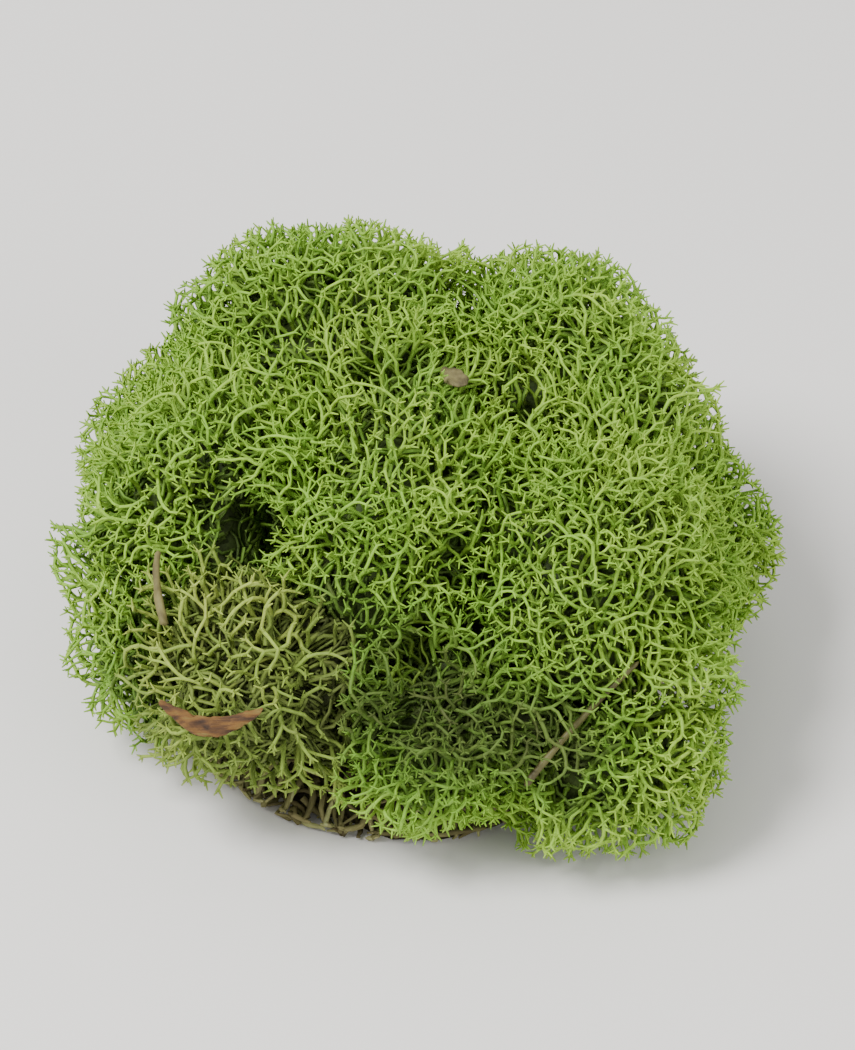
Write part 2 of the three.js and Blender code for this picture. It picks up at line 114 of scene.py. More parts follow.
# The first forks of a crown: how deep and how far apart, how near its middle, how many are tried.
ROOT_DEPTH, ROOT_SPACING, NEAREST_ROOT, ROOT_TRIES = 8.5 * mm, 3.0 * mm, 5 * mm, 2600
SHALLOWEST_ROOT = 2 * mm
FORK_SPACING, OPENING = 1.46 * mm, 0.42  # the least between two forks, and how much open adds
# The spacing changes from patch to patch: their size, the change, and its limits.
SPACING_PATCH, SPACING_CHANGE, SPACING_LIMITS = 11 * mm, 0.38, (0.8, 1.5)
STRAND_LENGTH, LENGTH_RANGE = 1.38, (0.9, 1.25)  # from fork to fork, in least spacings
FORK_ANGLE = (0.35, 1.05)  # radians that a new strand turns away from the one that it grows from
OUTWARD_PULL = 0.12  # how much a new strand turns to the outside
SHALLOWEST_FORK, DEEPEST_FORK, LOWEST_FORK = 0.9 * mm, 10 * mm, 2.6 * mm
ROUNDS = 24
MAT_RADIUS, MAT_TOP = 33 * mm, 9 * mm
# Dark holes between the strands, from the crowns' own origin: their middles and radii.
HOLES = np.array((
    (-22.3, -16.5, 42.5, 5.0), (-22.3, -12.5, 38, 4.5), (-6, 3, 57.5, 3.2), (1, 6.5, 55.5, 2.8),
    (-28, -11, 48, 2.8), (1.6, -36.5, 34, 4.2), (0.5, -43.5, 29.5, 3.4), (24.2, -48, 18.5, 4.6),
    (8, 25, 52, 3.2), (-39, -28, 19, 3.5), (-11.8, -42, 29.5, 3.2), (17, 2, 51, 3.0),
)) * mm
HOLE_LENGTH, HOLE_NARROWING = 6 * mm, 0.35
HOLE_END = np.array((0, 0, 15)) * mm + CLUMP_MIDDLE  # holes go in towards here
LITTER = ("dry_needle", "dry_twig", "bark_flake", "seed_scale")
LITTER_ROOM, LITTER_SIGHT = 0.9 * mm, 1.9 * mm  # kept free round litter, and over it
LITTER_MARGIN = 4 * mm  # past this from the litter's own box, nothing is near it
SPOTS_ALONG, SPOTS_ACROSS = 9, 7  # on each triangle of a piece of litter

random = np.random.default_rng(11)


def unit(vectors):
    return vectors / np.maximum(np.linalg.norm(vectors, axis=-1, keepdims=True), 1e-12)


def sideways(ways):
    """A random unit vector square to each of some directions."""
    other = random.normal(size=ways.shape)
    return unit(other - (other * ways).sum(axis=1, keepdims=True) * ways)


def patches(points, size, seed):
    """Smooth noise from about -1 to 1 with patches of a given size."""
    shift = Vector((seed * 7.3, seed * 3.1, seed * 5.7))
    return np.array([noise.noise(Vector(point) / size + shift) for point in points])


def corners_of(name):
    """The corners of a node's mesh, in its own order."""
    mesh = frame["nodes"][name].data
    corners = np.empty(len(mesh.vertices) * 3)
    mesh.vertices.foreach_get("co", corners)
    return corners.reshape(-1, 3)


def merged_corners(name):
    """The corners of a node's mesh, each once."""
    return np.unique(corners_of(name).round(6), axis=0)


envelopes = []
for index, name in enumerate(names):
    arms = merged_corners(name) - centres[index]
    lengths = np.linalg.norm(arms, axis=1)
    ways = arms / lengths[:, None]
    crown_only = (ways @ axes[index] > STALK_COSINE) & (lengths > STALK_SHARE * reaches[index])
    envelopes.append((ways[crown_only], lengths[crown_only]))


def room_towards(index, ways):
    """How far crown number index can reach in some directions before it meets a neighbour."""
    room = np.full(len(ways), 1.0)  # a metre, far past any crown
    for other in range(len(names)):
        if other != index:
            wall = unit(pulls[index] - pulls[other])
            towards = np.maximum(-(ways @ wall), 1e-6)
            room = np.minimum(room, ((centres[index] - FOCUS) @ wall) / towards)
    return room


def dome_of(index, ways):
    """How far crown number index would reach if it had no neighbours."""
    along = ways @ axes[index]
    across = np.sqrt(np.maximum(0, 1 - along**2))
    dome = 1 / np.hypot(across, along / np.where(along > 0, DOME_ABOVE, DOME_BELOW))
    turn = planned[index][0] * 0.7 + planned[index][1] * 0.3  # other lumps for each crown
    lumps = np.sin(ways * DOME_WAVES + np.array((1, 2, 3)) * turn).sum(axis=1)
    return reaches[index] * dome * (1 + DOME_LUMP * lumps)


def outside_of(index, ways):
    """How far crown number index reaches in each of some directions."""
    corner_ways, lengths = envelopes[index]
    reach = np.empty(len(ways))
    for start in range(0, len(ways), DIRECTIONS_AT_ONCE):
        part = slice(start, start + DIRECTIONS_AT_ONCE)
        nearness = np.clip(ways[part] @ corner_ways.T, -1, 1)
        reach[part] = (lengths * (1 - TIP_WIDTH * 2 * (1 - nearness))).max(axis=1)
    dome = CLOSED_UP * dome_of(index, ways)
    closed_up = room_towards(index, ways) < dome
    return np.where(closed_up, np.maximum(reach, dome), reach)


def depth_of(points):
    """How deep points lie under the outside of the whole clump."""
    total = np.zeros(len(points))
    for other in range(len(names)):
        arms = points - centres[other]
        distance = np.linalg.norm(arms, axis=1)
        near = distance < CREASE_REACH * reaches[other]
        depth = np.full(len(points), -np.inf)
        depth[near] = outside_of(other, unit(arms[near])) - distance[near]
        total += np.exp(depth / CREASE_FILL)
    swelling = SWELLING * patches(points, SWELLING_SIZE, seed=3)
    return CREASE_FILL * np.log(np.maximum(total, 1e-9)) + swelling


def spots_on(name):
    """Points about a millimetre apart on the surface of a node."""
    corners = corners_of(name)
    spots = []
    for polygon in frame["nodes"][name].data.polygons:
        first, second, third = corners[list(polygon.vertices)]
        for u in np.linspace(0, 1, SPOTS_ALONG):
            for v in np.linspace(0, 1 - u, SPOTS_ACROSS):
                spots.append(first + u * (second - first) + v * (third - first))
    return np.unique(np.array(spots).round(4), axis=0)


litter_spots = np.vstack([spots_on(name) for name in LITTER])
litter_low = litter_spots.min(axis=0) - LITTER_MARGIN
litter_high = litter_spots.max(axis=0) + LITTER_MARGIN
litter_tree = KDTree(len(litter_spots))
for number, spot in enumerate(litter_spots):
    litter_tree.insert(spot, number)
litter_tree.balance()


def hides_litter(points, index):
    """Whether points of crown number index lie at a piece of litter or just outside it."""
    ways = unit(points - centres[index])
    hides = np.zeros(len(points), bool)
    near = np.all((points > litter_low) & (points < litter_high), axis=1)
    for row in np.flatnonzero(near):
        for above in (0, 0.5, 1):
            spot = points[row] - ways[row] * above * LITTER_SIGHT
            hides[row] |= litter_tree.find(spot)[2] < LITTER_ROOM
    return hides


def in_hole(points, margin):
    """Whether points lie in a dark hole, which narrows towards the middle of the clump."""
    inside = np.zeros(len(points), bool)
    for *place, radius in HOLES:
        middle = place + CLUMP_MIDDLE
        inwards = unit(HOLE_END - middle) * HOLE_LENGTH
        arms = points - middle
        share = np.clip(arms @ inwards / HOLE_LENGTH**2, 0, 1)
        away = np.linalg.norm(arms - share[:, None] * inwards, axis=1)
        inside |= away < margin * radius * (1 - HOLE_NARROWING * share)
    return inside


def is_free(points, index):
    """Whether points lie on their own crown's side of its neighbours, clear of all else."""
    owner = np.argmax((points - FOCUS) @ pulls.T, axis=1)
    across = np.hypot(points[:, 0] - FOCUS[0], points[:, 1] - FOCUS[1])
    in_mat = (points[:, 2] < MAT_TOP) & (across < MAT_RADIUS)
    free = (owner == index) & (points[:, 2] > LOWEST_FORK) & ~in_mat & ~in_hole(points, 1)
    return free & ~hides_litter(points, index)


class Forks:
    """All forks grown so far, with a grid of cells to find what is near a place."""

    CELL = 2.6 * mm

    def __init__(self):
        self.places, self.ways, self.parents, self.owners, self.depths = [], [], [], [], []
        self.children, self.first_child, self.cells = [], {}, {}

    def cell_of(self, place):
        return tuple(math.floor(part / self.CELL) for part in place)

    def is_clear(self, place, spacing, parent):
        x, y, z = self.cell_of(place)
        for near_x in (x - 1, x, x + 1):
            for near_y in (y - 1, y, y + 1):
                for near_z in (z - 1, z, z + 1):
                    for other in self.cells.get((near_x, near_y, near_z), ()):
                        if other != parent and math.dist(place, self.places[other]) < spacing:
                            return False
        return True

    def add(self, place, way, parent, owner, depth):
        self.cells.setdefault(self.cell_of(place), []).append(len(self.places))
        self.places.append(place)
        self.ways.append(way)
        self.parents.append(parent)
        self.owners.append(owner)
        self.depths.append(depth)
        self.children.append(0)
        if parent >= 0:
            self.children[parent] += 1


def plant(forks, index):
    """Puts the first forks of crown number index round its core."""
    ways = unit(random.normal(size=(ROOT_TRIES, 3)))
    ways = ways[ways @ axes[index] > UNDERSIDE]
    distance = np.maximum(outside_of(index, ways) - ROOT_DEPTH, NEAREST_ROOT)
    places = centres[index] + ways * distance[:, None]
    depths = depth_of(places)
    free = is_free(places, index) & (depths > SHALLOWEST_ROOT)
    for place, way, depth in zip(places[free], ways[free], depths[free]):
        if forks.is_clear(tuple(place), ROOT_SPACING, -1):
            forks.add(tuple(place), tuple(way), -1, index, depth)


def spread(forks, index):
    """Tries to grow one more strand from each fork of crown number index."""
    own = [n for n in range(len(forks.places)) if forks.owners[n] == index
           and forks.children[n] < 2 and forks.depths[n] > 0.8 * SHALLOWEST_FORK]
    random.shuffle(own)
    if not own:
        return
    starts = np.array([forks.places[n] for n in own])
    ways = np.array([forks.ways[n] for n in own])
    angle = random.uniform(*FORK_ANGLE, len(own))[:, None]
    aside = sideways(ways)
    for row, n in enumerate(own):
        if forks.children[n]:  # the second strand turns away from the first
            first = forks.ways[forks.first_child[n]]
            leaning = np.array(first) - ways[row] * np.dot(first, ways[row])
            aside[row] = unit(-leaning / max(np.linalg.norm(leaning), 1e-9) + 0.5 * aside[row])
    from_middle = unit(starts - centres[index])
    new_ways = unit(ways * np.cos(angle) + aside * np.sin(angle) + OUTWARD_PULL * from_middle)
    base = FORK_SPACING * (1 + OPENING * openness[index])
    change = 1 + SPACING_CHANGE * patches(starts, SPACING_PATCH, seed=5)
    spacing = base * np.clip(change, *SPACING_LIMITS)
    length = spacing * STRAND_LENGTH * random.uniform(*LENGTH_RANGE, len(own))
    ends = starts + new_ways * length[:, None]
    depths = depth_of(ends)
    free = is_free(ends, index) & is_free((starts + ends) / 2, index)
    free &= (depths > SHALLOWEST_FORK) & (depths < DEEPEST_FORK)
    for row in np.flatnonzero(free):
        parent, place = own[row], tuple(ends[row])
        if forks.children[parent] < 2 and forks.is_clear(place, spacing[row], parent):
            if not forks.children[parent]:
                forks.first_child[parent] = len(forks.places)
            forks.add(place, tuple(new_ways[row]), parent, index, depths[row])


forks = Forks()
for index in range(len(names)):
    plant(forks, index)
for growth in range(ROUNDS):
    for index in range(len(names)):
        spread(forks, index)
places, grown_ways = np.array(forks.places), np.array(forks.ways)
parents, owners = np.array(forks.parents), np.array(forks.owners)
depths, children = np.array(forks.depths), np.array(forks.children)
outwards = unit(places - centres[owners])


# ---- Crowns: the strands ---------------------------------------------------------------------
# A strand is a hollow branch, round, waxy and 0.5 to 1 mm thick. It thickens a little with all
# that grows from it, and a fork that nothing more grows from ends in a star of short points.
# Strands are pale yellow-green at the outside and darker deeper in: dead base and painted shade.

BARE_RADIUS, THICKENING, THICKEST = 0.25 * mm, 0.15, 0.5 * mm
POINT_LENGTH, POINT_TIP = 1.2 * mm, 0.1 * mm
POINT_DEPTH, POINT_FOOT = 6 * mm, 1.2 * mm  # points are left out deeper down and near the floor
MOST_POINTS, EXTRA_POINT = 4, 0.3  # round one fork, and how often there is one more than usual
STRAND_SWAY = 0.11  # how far a strand bows out, in its own lengths
SHELL = 12 * mm  # how deep under a crown's outside the strands darken: dead base and painted shade
ROUND_ABOVE = 4.5 * mm  # deeper branches have three sides, the others four

# Counts what grows from each fork, from the youngest inwards.
carried = np.ones(len(places))
for number in range(len(places) - 1, -1, -1):
    if parents[number] >= 0:
        carried[parents[number]] += carried[number]
thick = np.minimum(BARE_RADIUS * carried**THICKENING, THICKEST)
thick = thick * (1 + 0.2 * openness[owners]) * random.uniform(0.9, 1.12, len(places))

# A patch of the clump is yellower or greener than the next one, and so is a strand. Where the
# Some places are dull and olive-brown, and where shadow falls between the lobes the strands are
# darkened with painted shade: these places, with their sizes, how dull and how much painted
# shade.
DULL_AND_SHADED_PLACES = np.array((
    (9, -46.5, 32, 11, 0.92, 0.75), (-1, -45, 32, 9, 0.9, 0.85),
    (2, -39, 37.5, 8, 0.9, 0.85), (20, -44, 25, 8, 0.75, 0.6),
    (-22.8, -48, 13, 13, 0.85, 0.15), (-41, -30, 19, 10, 0.5, 0.3),
    (-12, -44, 29, 8, 0.6, 0.45), (3, 3, 50, 7, 0.4, 0.3),
    (-22, -14, 38, 8, 0.4, 0.5), (-11, -30, 37, 6, 0.4, 0.5),
))
DULL, PAINTED_SHADE = 4, 5  # the columns of how dull and how much painted shade
PAINTED_SHADE_DARKENING = 0.7


def dull_or_shaded(points, column):
    """How dull points are, or how much painted shade they have, from 0 to almost 1."""
    left = np.ones(len(points))
    for place in DULL_AND_SHADED_PLACES:
        away = np.linalg.norm((points - CLUMP_MIDDLE) / mm - place[:3], axis=1)
        left *= 1 - place[column] * np.exp(-((away / place[3]) ** 2))
    return 1 - left


dull = dull_or_shaded(places, DULL) + 0.25 * patches(places, 7 * mm, seed=8) - 0.05
dull = np.clip(dull, 0, 0.95)
hues = 0.7 + 0.3 * patches(places, 16 * mm, seed=1) + 0.2 * patches(places, 4 * mm, seed=2)
hues = hues * (1 - dull) + 0.12 * dull + random.normal(0, 0.05, len(places))
hues = np.clip(hues, 0.03, 0.97)
# Deeper strands are drawn darker: partly the real dead base, partly painted shade in the gaps.
alive_and_unshaded = np.clip(1 - depths / SHELL, 0, 1)**0.8
shaded_freshness = 0.14 + 0.78 * alive_and_unshaded + 0.1 * patches(places, 5 * mm, seed=4)
# Dull strands are drawn darker, and the shaded places darker still with painted shade.
shaded_freshness = shaded_freshness * (1 - 0.35 * dull) * (1 - PAINTED_SHADE_DARKENING * dull_or_shaded(places, PAINTED_SHADE))
shaded_freshness = shaded_freshness + random.normal(0, 0.03, len(places))
shaded_freshness = np.clip(shaded_freshness, 0.02, 0.96)


class Strands:
    """Polylines and bodies with a radius, a lightness and a hue at each of their points."""

    def __init__(self):
        self.rows, self.edges, self.faces, self.total = [], [], [], 0

    def add(self, points, radii, lightness, hue, sides):
        """Adds a strand for each row of points, which has an entry for each bend."""
        count, bends = points.shape[:2]
        flat = [np.broadcast_to(values, (count, bends)).reshape(-1, 1)
                for values in (radii, lightness, hue, sides)]
        self.rows.append(np.hstack([points.reshape(-1, 3), *flat]))
        first = self.total + np.arange(count)[:, None] * bends + np.arange(bends - 1)
        self.edges.append(np.stack([first.ravel(), first.ravel() + 1], axis=1))
        self.total += count * bends

    def add_body(self, points, faces, lightness, hue):
        """Adds a closed body that keeps its own faces."""
        zeros = np.zeros(len(points))
        self.rows.append(np.column_stack([points, zeros, lightness, hue, zeros]))
        self.faces += [[self.total + corner for corner in face] for face in faces]
        self.total += len(points)


def add_branches(strands, index):
    """Adds the strands between the forks of crown number index, and those out of its core."""
    own = np.flatnonzero((owners == index) & (parents >= 0))
    before = parents[own]
    start, end = places[before], places[own]
    length = np.linalg.norm(end - start, axis=1)[:, None]
    # Each strand sets out as the one before it went, and bends over to its own way.
    bow = (grown_ways[before] - grown_ways[own]) * length * STRAND_SWAY
    middle = (start + end) / 2 + bow
    middle += random.normal(0, 0.07 * mm, middle.shape)
    root_thick = np.minimum(thick[before], 1.25 * thick[own])
    radii = np.stack([root_thick, 0.9 * thick[own], thick[own]], axis=1)
    lightness = np.stack([shaded_freshness[before], (shaded_freshness[before] + shaded_freshness[own]) / 2,
                      shaded_freshness[own]], axis=1)
    sides = np.where(depths[own] < ROUND_ABOVE, 4, 3)[:, None]
    line = np.stack([start, middle, end], axis=1)
    strands.add(line, radii, lightness, hues[own][:, None], sides)

    rooted = np.flatnonzero((owners == index) & (parents < 0))
    end, way = places[rooted], grown_ways[rooted]
    start = end - way * 2.5 * mm + sideways(way) * random.uniform(0, 1, (len(rooted), 1)) * mm
    radii = thick[rooted][:, None] * np.array([1.15, 1.0])
    lightness = shaded_freshness[rooted][:, None] * np.array([0.4, 1.0])
    strands.add(np.stack([start, end], axis=1), radii, lightness, hues[rooted][:, None], 4)


def add_points(strands, index):
    """Adds short points: three or so round a bare fork, one where one strand grows from it."""
    own = np.flatnonzero((owners == index) & (depths < POINT_DEPTH) & (children < 2))
    way = unit(grown_ways[own] + 0.35 * outwards[own])
    first = sideways(way)
    second = np.cross(way, first)
    wanted = np.where(children[own] == 0, 3, 1) + (random.random(len(own)) < EXTRA_POINT)
    for point_number in range(MOST_POINTS):
        chosen = point_number < wanted
        stars = own[chosen]
        turn = (point_number * 2 * math.pi / wanted[chosen]
                + random.normal(0, 0.3, len(stars)))[:, None]
        side = first[chosen] * np.cos(turn) + second[chosen] * np.sin(turn)
        tilt = random.uniform(0.55, 1.1, len(stars))[:, None]
        tip_way = unit(way[chosen] * np.cos(tilt) + side * np.sin(tilt))
        length = POINT_LENGTH * random.uniform(0.65, 1.35, len(stars))[:, None]
        tip = places[stars] + tip_way * length
        above = tip[:, 2] > POINT_FOOT
        stars, tip = stars[above], tip[above]
        radii = np.stack([0.85 * thick[stars], np.full(len(stars), POINT_TIP)], axis=1)
        tip_lightness = np.minimum(shaded_freshness[stars] * 1.1 + 0.02, 0.98)
        lightness = np.stack([shaded_freshness[stars], tip_lightness], axis=1)
        line = np.stack([places[stars], tip], axis=1)
        strands.add(line, radii, lightness, hues[stars][:, None], 3)


def strand_tree():
    """A tree of nodes that turns strands into round branches.

    Its palette map has lightness across, which holds painted shade, and hue upwards, and each
    branch takes a small ring of it.
    """
    tree = bpy.data.node_groups.new("moss strands", "GeometryNodeTree")
    new_socket = tree.interface.new_socket
    new_socket("Geometry", in_out="OUTPUT", socket_type="NodeSocketGeometry")
    new_socket("Geometry", in_out="INPUT", socket_type="NodeSocketGeometry")
    new_socket("Ring in the palette", in_out="INPUT", socket_type="NodeSocketFloat")
    new_socket("Material", in_out="INPUT", socket_type="NodeSocketMaterial")
    node, link = tree.nodes.new, tree.links.new
    given, result = node("NodeGroupInput"), node("NodeGroupOutput")

    def named(name, data_type="FLOAT"):
        attribute = node("GeometryNodeInputNamedAttribute")
        attribute.data_type = data_type
        attribute.inputs["Name"].default_value = name
        return attribute.outputs["Attribute"]

    joined = node("GeometryNodeJoinGeometry")
    for sides in (0, 3, 4):
        same = node("FunctionNodeCompare")
        same.data_type, same.operation = "FLOAT", "EQUAL"
        same.inputs["B"].default_value = sides
        link(named("sides"), same.inputs["A"])
        chosen = node("GeometryNodeSeparateGeometry")
        link(given.outputs["Geometry"], chosen.inputs["Geometry"])
        link(same.outputs["Result"], chosen.inputs["Selection"])
        if not sides:
            link(chosen.outputs["Selection"], joined.inputs["Geometry"])
            continue
        curve = node("GeometryNodeMeshToCurve")
        link(chosen.outputs["Selection"], curve.inputs["Mesh"])
        circle = node("GeometryNodeCurvePrimitiveCircle")
        circle.inputs["Resolution"].default_value = sides
        circle.inputs["Radius"].default_value = 1
        ring = node("GeometryNodeStoreNamedAttribute")
        ring.data_type, ring.domain = "FLOAT_VECTOR", "POINT"
        ring.inputs["Name"].default_value = "ring"
        link(circle.outputs["Curve"], ring.inputs["Geometry"])
        link(node("GeometryNodeInputPosition").outputs["Position"], ring.inputs["Value"])
        branch = node("GeometryNodeCurveToMesh")
        branch.inputs["Fill Caps"].default_value = True
        link(curve.outputs["Curve"], branch.inputs["Curve"])
        link(ring.outputs["Geometry"], branch.inputs["Profile Curve"])
        link(named("radius"), branch.inputs["Scale"])
        link(branch.outputs["Mesh"], joined.inputs["Geometry"])

    centre = node("ShaderNodeCombineXYZ")
    link(named("lightness"), centre.inputs["X"])
    link(named("hue"), centre.inputs["Y"])
    scaled = node("ShaderNodeVectorMath")
    scaled.operation = "SCALE"
    link(named("ring", "FLOAT_VECTOR"), scaled.inputs["Vector"])
    link(given.outputs["Ring in the palette"], scaled.inputs["Scale"])
    place = node("ShaderNodeVectorMath")
    place.operation = "ADD"
    link(centre.outputs["Vector"], place.inputs[0])
    link(scaled.outputs["Vector"], place.inputs[1])
    palette = node("GeometryNodeStoreNamedAttribute")
    palette.data_type, palette.domain = "FLOAT2", "CORNER"
    palette.inputs["Name"].default_value = "OFBake"
    link(joined.outputs["Geometry"], palette.inputs["Geometry"])
    link(place.outputs["Vector"], palette.inputs["Value"])
    smooth = node("GeometryNodeSetShadeSmooth")
    link(palette.outputs["Geometry"], smooth.inputs["Geometry"])
    real = node("GeometryNodeRealizeInstances")
    link(smooth.outputs["Geometry"], real.inputs["Geometry"])
    finish = node("GeometryNodeSetMaterial")
    link(real.outputs["Geometry"], finish.inputs["Geometry"])
    link(given.outputs["Material"], finish.inputs["Material"])
    link(finish.outputs["Geometry"], result.inputs["Geometry"])
    return tree


STRAND_TREE = strand_tree()
PALETTE_RING = 0.012


def plain_mesh(source, name, tree, values):
    """Runs a tree on a mesh and returns the result as an object with a plain mesh."""
    carrier = bpy.data.objects.new(name + " source", source)
    bpy.context.scene.collection.objects.link(carrier)
    modifier = carrier.modifiers.new("tree", "NODES")
    modifier.node_group = tree
    for item in tree.interface.items_tree:
        if item.in_out == "INPUT" and item.name in values:
            modifier[item.identifier] = values[item.name]
    evaluated = carrier.evaluated_get(bpy.context.evaluated_depsgraph_get())
    mesh = bpy.data.meshes.new_from_object(evaluated)
    bpy.data.objects.remove(carrier)
    mesh.name = name
    for helper in ("radius", "lightness", "hue", "ring", "sides"):
        if helper in mesh.attributes:
            mesh.attributes.remove(mesh.attributes[helper])
    piece = bpy.data.objects.new(name, mesh)
    bpy.context.scene.collection.objects.link(piece)
    return piece


def strand_piece(strands, name, material):
    rows, edges = np.vstack(strands.rows), np.vstack(strands.edges)
    source = bpy.data.meshes.new(name + " lines")
    source.from_pydata(rows[:, :3], edges, strands.faces)
    for column, attribute in enumerate(("radius", "lightness", "hue", "sides")):
        values = source.attributes.new(attribute, "FLOAT", "POINT").data
        values.foreach_set("value", rows[:, 3 + column].astype(np.float32))
    values = {"Ring in the palette": PALETTE_RING, "Material": material}
    return plain_mesh(source, name, STRAND_TREE, values)


def new_finish(name, roughness):
    """A material with its shader, its nodes and what links them."""
    material = bpy.data.materials.new(name)
    material.use_nodes = True
    nodes = material.node_tree.nodes
    shader = nodes["Principled BSDF"]
    shader.inputs["Roughness"].default_value = roughness
    return material, shader, nodes, material.node_tree.links.new


def colour_ramp(nodes, stops):
    ramp = nodes.new("ShaderNodeValToRGB")
    elements = ramp.color_ramp.elements
    while len(elements) < len(stops):
        elements.new(0.5)
    for element, (position, stop) in zip(elements, stops):
        element.position, element.color = position, (*stop, 1)
    return ramp


def noise_at(nodes, link, place, per_metre, detail):
    """Noise as fine as that many spots a metre."""
    spots = nodes.new("ShaderNodeTexNoise")
    spots.inputs["Scale"].default_value = per_metre
    spots.inputs["Detail"].default_value = detail
    link(place, spots.inputs["Vector"])
    return spots.outputs["Fac"]


def add_relief(nodes, link, shader, grain, strength, height):
    """Lets a grain stand out on a finish."""
    relief = nodes.new("ShaderNodeBump")
    relief.inputs["Strength"].default_value = strength
    relief.inputs["Distance"].default_value = height
    link(grain, relief.inputs["Height"])
    link(relief.outputs["Normal"], shader.inputs["Normal"])


MOTTLES_PER_METRE, MOTTLE = 900, 0.3
GRAINS_PER_METRE, GRAIN_HEIGHT, GRAIN_STRENGTH = 1700, 0.25 * mm, 0.5
MOSS_DETAIL, MOSS_GLOSS = 2, 0.2


def moss_material(name, colours, roughness):
    """A finish that reads lightness and hue from the palette map.

    Each of the colours is a row of stops from the dark base to the light tip, and hue goes
    through the rows in turn. A fine mottle varies them, and a finer grain stands out a little.
    """
    material, shader, nodes, link = new_finish(name, roughness)
    shader.inputs["Specular IOR Level"].default_value = MOSS_GLOSS
    palette = nodes.new("ShaderNodeUVMap")
    palette.uv_map = "OFBake"
    parts = nodes.new("ShaderNodeSeparateXYZ")
    link(palette.outputs["UV"], parts.inputs["Vector"])
    colour = None
    for number, stops in enumerate(colours):
        ramp = colour_ramp(nodes, stops)
        link(parts.outputs["X"], ramp.inputs["Fac"])
        if colour is None:
            colour = ramp.outputs["Color"]
            continue
        share = nodes.new("ShaderNodeMapRange")
        share.inputs["From Min"].default_value = (number - 1) / (len(colours) - 1)
        share.inputs["From Max"].default_value = number / (len(colours) - 1)
        link(parts.outputs["Y"], share.inputs["Value"])
        mix = nodes.new("ShaderNodeMix")
        mix.data_type = "RGBA"
        link(share.outputs["Result"], mix.inputs["Factor"])
        link(colour, mix.inputs["A"])
        link(ramp.outputs["Color"], mix.inputs["B"])
        colour = mix.outputs["Result"]
    place = nodes.new("ShaderNodeTexCoord").outputs["Object"]
    mottle = noise_at(nodes, link, place, MOTTLES_PER_METRE, MOSS_DETAIL)
    light = nodes.new("ShaderNodeMapRange")
    light.inputs["To Min"].default_value = 1 - MOTTLE
    light.inputs["To Max"].default_value = 1 + MOTTLE
    link(mottle, light.inputs["Value"])
    scaled = nodes.new("ShaderNodeVectorMath")
    scaled.operation = "SCALE"
    link(colour, scaled.inputs["Vector"])
    link(light.outputs["Result"], scaled.inputs["Scale"])
    link(scaled.outputs["Vector"], shader.inputs["Base Color"])
    grain = noise_at(nodes, link, place, GRAINS_PER_METRE, MOSS_DETAIL)
    add_relief(nodes, link, shader, grain, GRAIN_STRENGTH, GRAIN_HEIGHT)
    return material


# Colours from the dark base to the tip, of a dull strand, a green one and a yellower one. The
# dark end is partly the real dead base and partly painted shade deep in the crowns.
OLIVE = [
    (0.0, (0.023, 0.021, 0.008)), (0.3, (0.062, 0.062, 0.019)), (0.62, (0.128, 0.140, 0.037)),
    (0.85, (0.189, 0.214, 0.059)), (1.0, (0.262, 0.301, 0.092)),
]
GREEN = [
    (0.0, (0.027, 0.042, 0.008)), (0.3, (0.078, 0.150, 0.020)), (0.62, (0.152, 0.305, 0.033)),
    (0.85, (0.202, 0.392, 0.038)), (1.0, (0.264, 0.480, 0.046)),
]
YELLOW = [
    (0.0, (0.042, 0.050, 0.012)), (0.3, (0.122, 0.178, 0.028)), (0.62, (0.238, 0.383, 0.046)),
    (0.85, (0.308, 0.480, 0.054)), (1.0, (0.376, 0.560, 0.070)),
]
PALE_GREEN = [
    (0.0, (0.030, 0.038, 0.010)), (0.3, (0.102, 0.138, 0.028)), (0.62, (0.185, 0.275, 0.044)),
    (0.85, (0.245, 0.342, 0.051)), (1.0, (0.310, 0.417, 0.076)),
]
PALE_YELLOW = [
    (0.0, (0.049, 0.048, 0.015)), (0.3, (0.155, 0.171, 0.039)), (0.62, (0.293, 0.354, 0.061)),
    (0.85, (0.362, 0.428, 0.087)), (1.0, (0.436, 0.504, 0.121)),
]
moss = moss_material("fresh moss", (OLIVE, GREEN, YELLOW), 0.62)
pale_moss = moss_material("pale moss", (OLIVE, PALE_GREEN, PALE_YELLOW), 0.66)

STALK_COUNT, STALK_RADIUS, STALK_FOOT = 9, 0.62 * mm, 3.4 * mm
STALK_SPREAD, STALK_BENDS, GOLDEN_ANGLE = 6.5 * mm, 7, 2.4
CORE_DEPTH, CORE_FOOT, SMALLEST_CORE, CORE_SUBDIVISIONS = 9.5 * mm, 3.5 * mm, 2.5 * mm, 3
CORE_LUMP, CORE_LUMP_SIZE = 0.12, 0.16
# A core draws back by steps from a dark hole, until the hole with a margin is free.
DENT_STEPS, DENT_STEP, DENT_MARGIN, DENTED_CORE = 16, 0.6 * mm, 1.25, 3 * mm
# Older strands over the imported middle: how many on a crown of this reach, how many more an open
# crown has, and how high they lie.
THATCH, THATCH_REACH, THATCH_OPENING, THATCH_BENDS = 1150, 29 * mm, 0.6, 5
THATCH_HEIGHT, THATCH_FOOT, THATCH_HOLE_MARGIN = 5.0 * mm, 2.0 * mm, 1.15


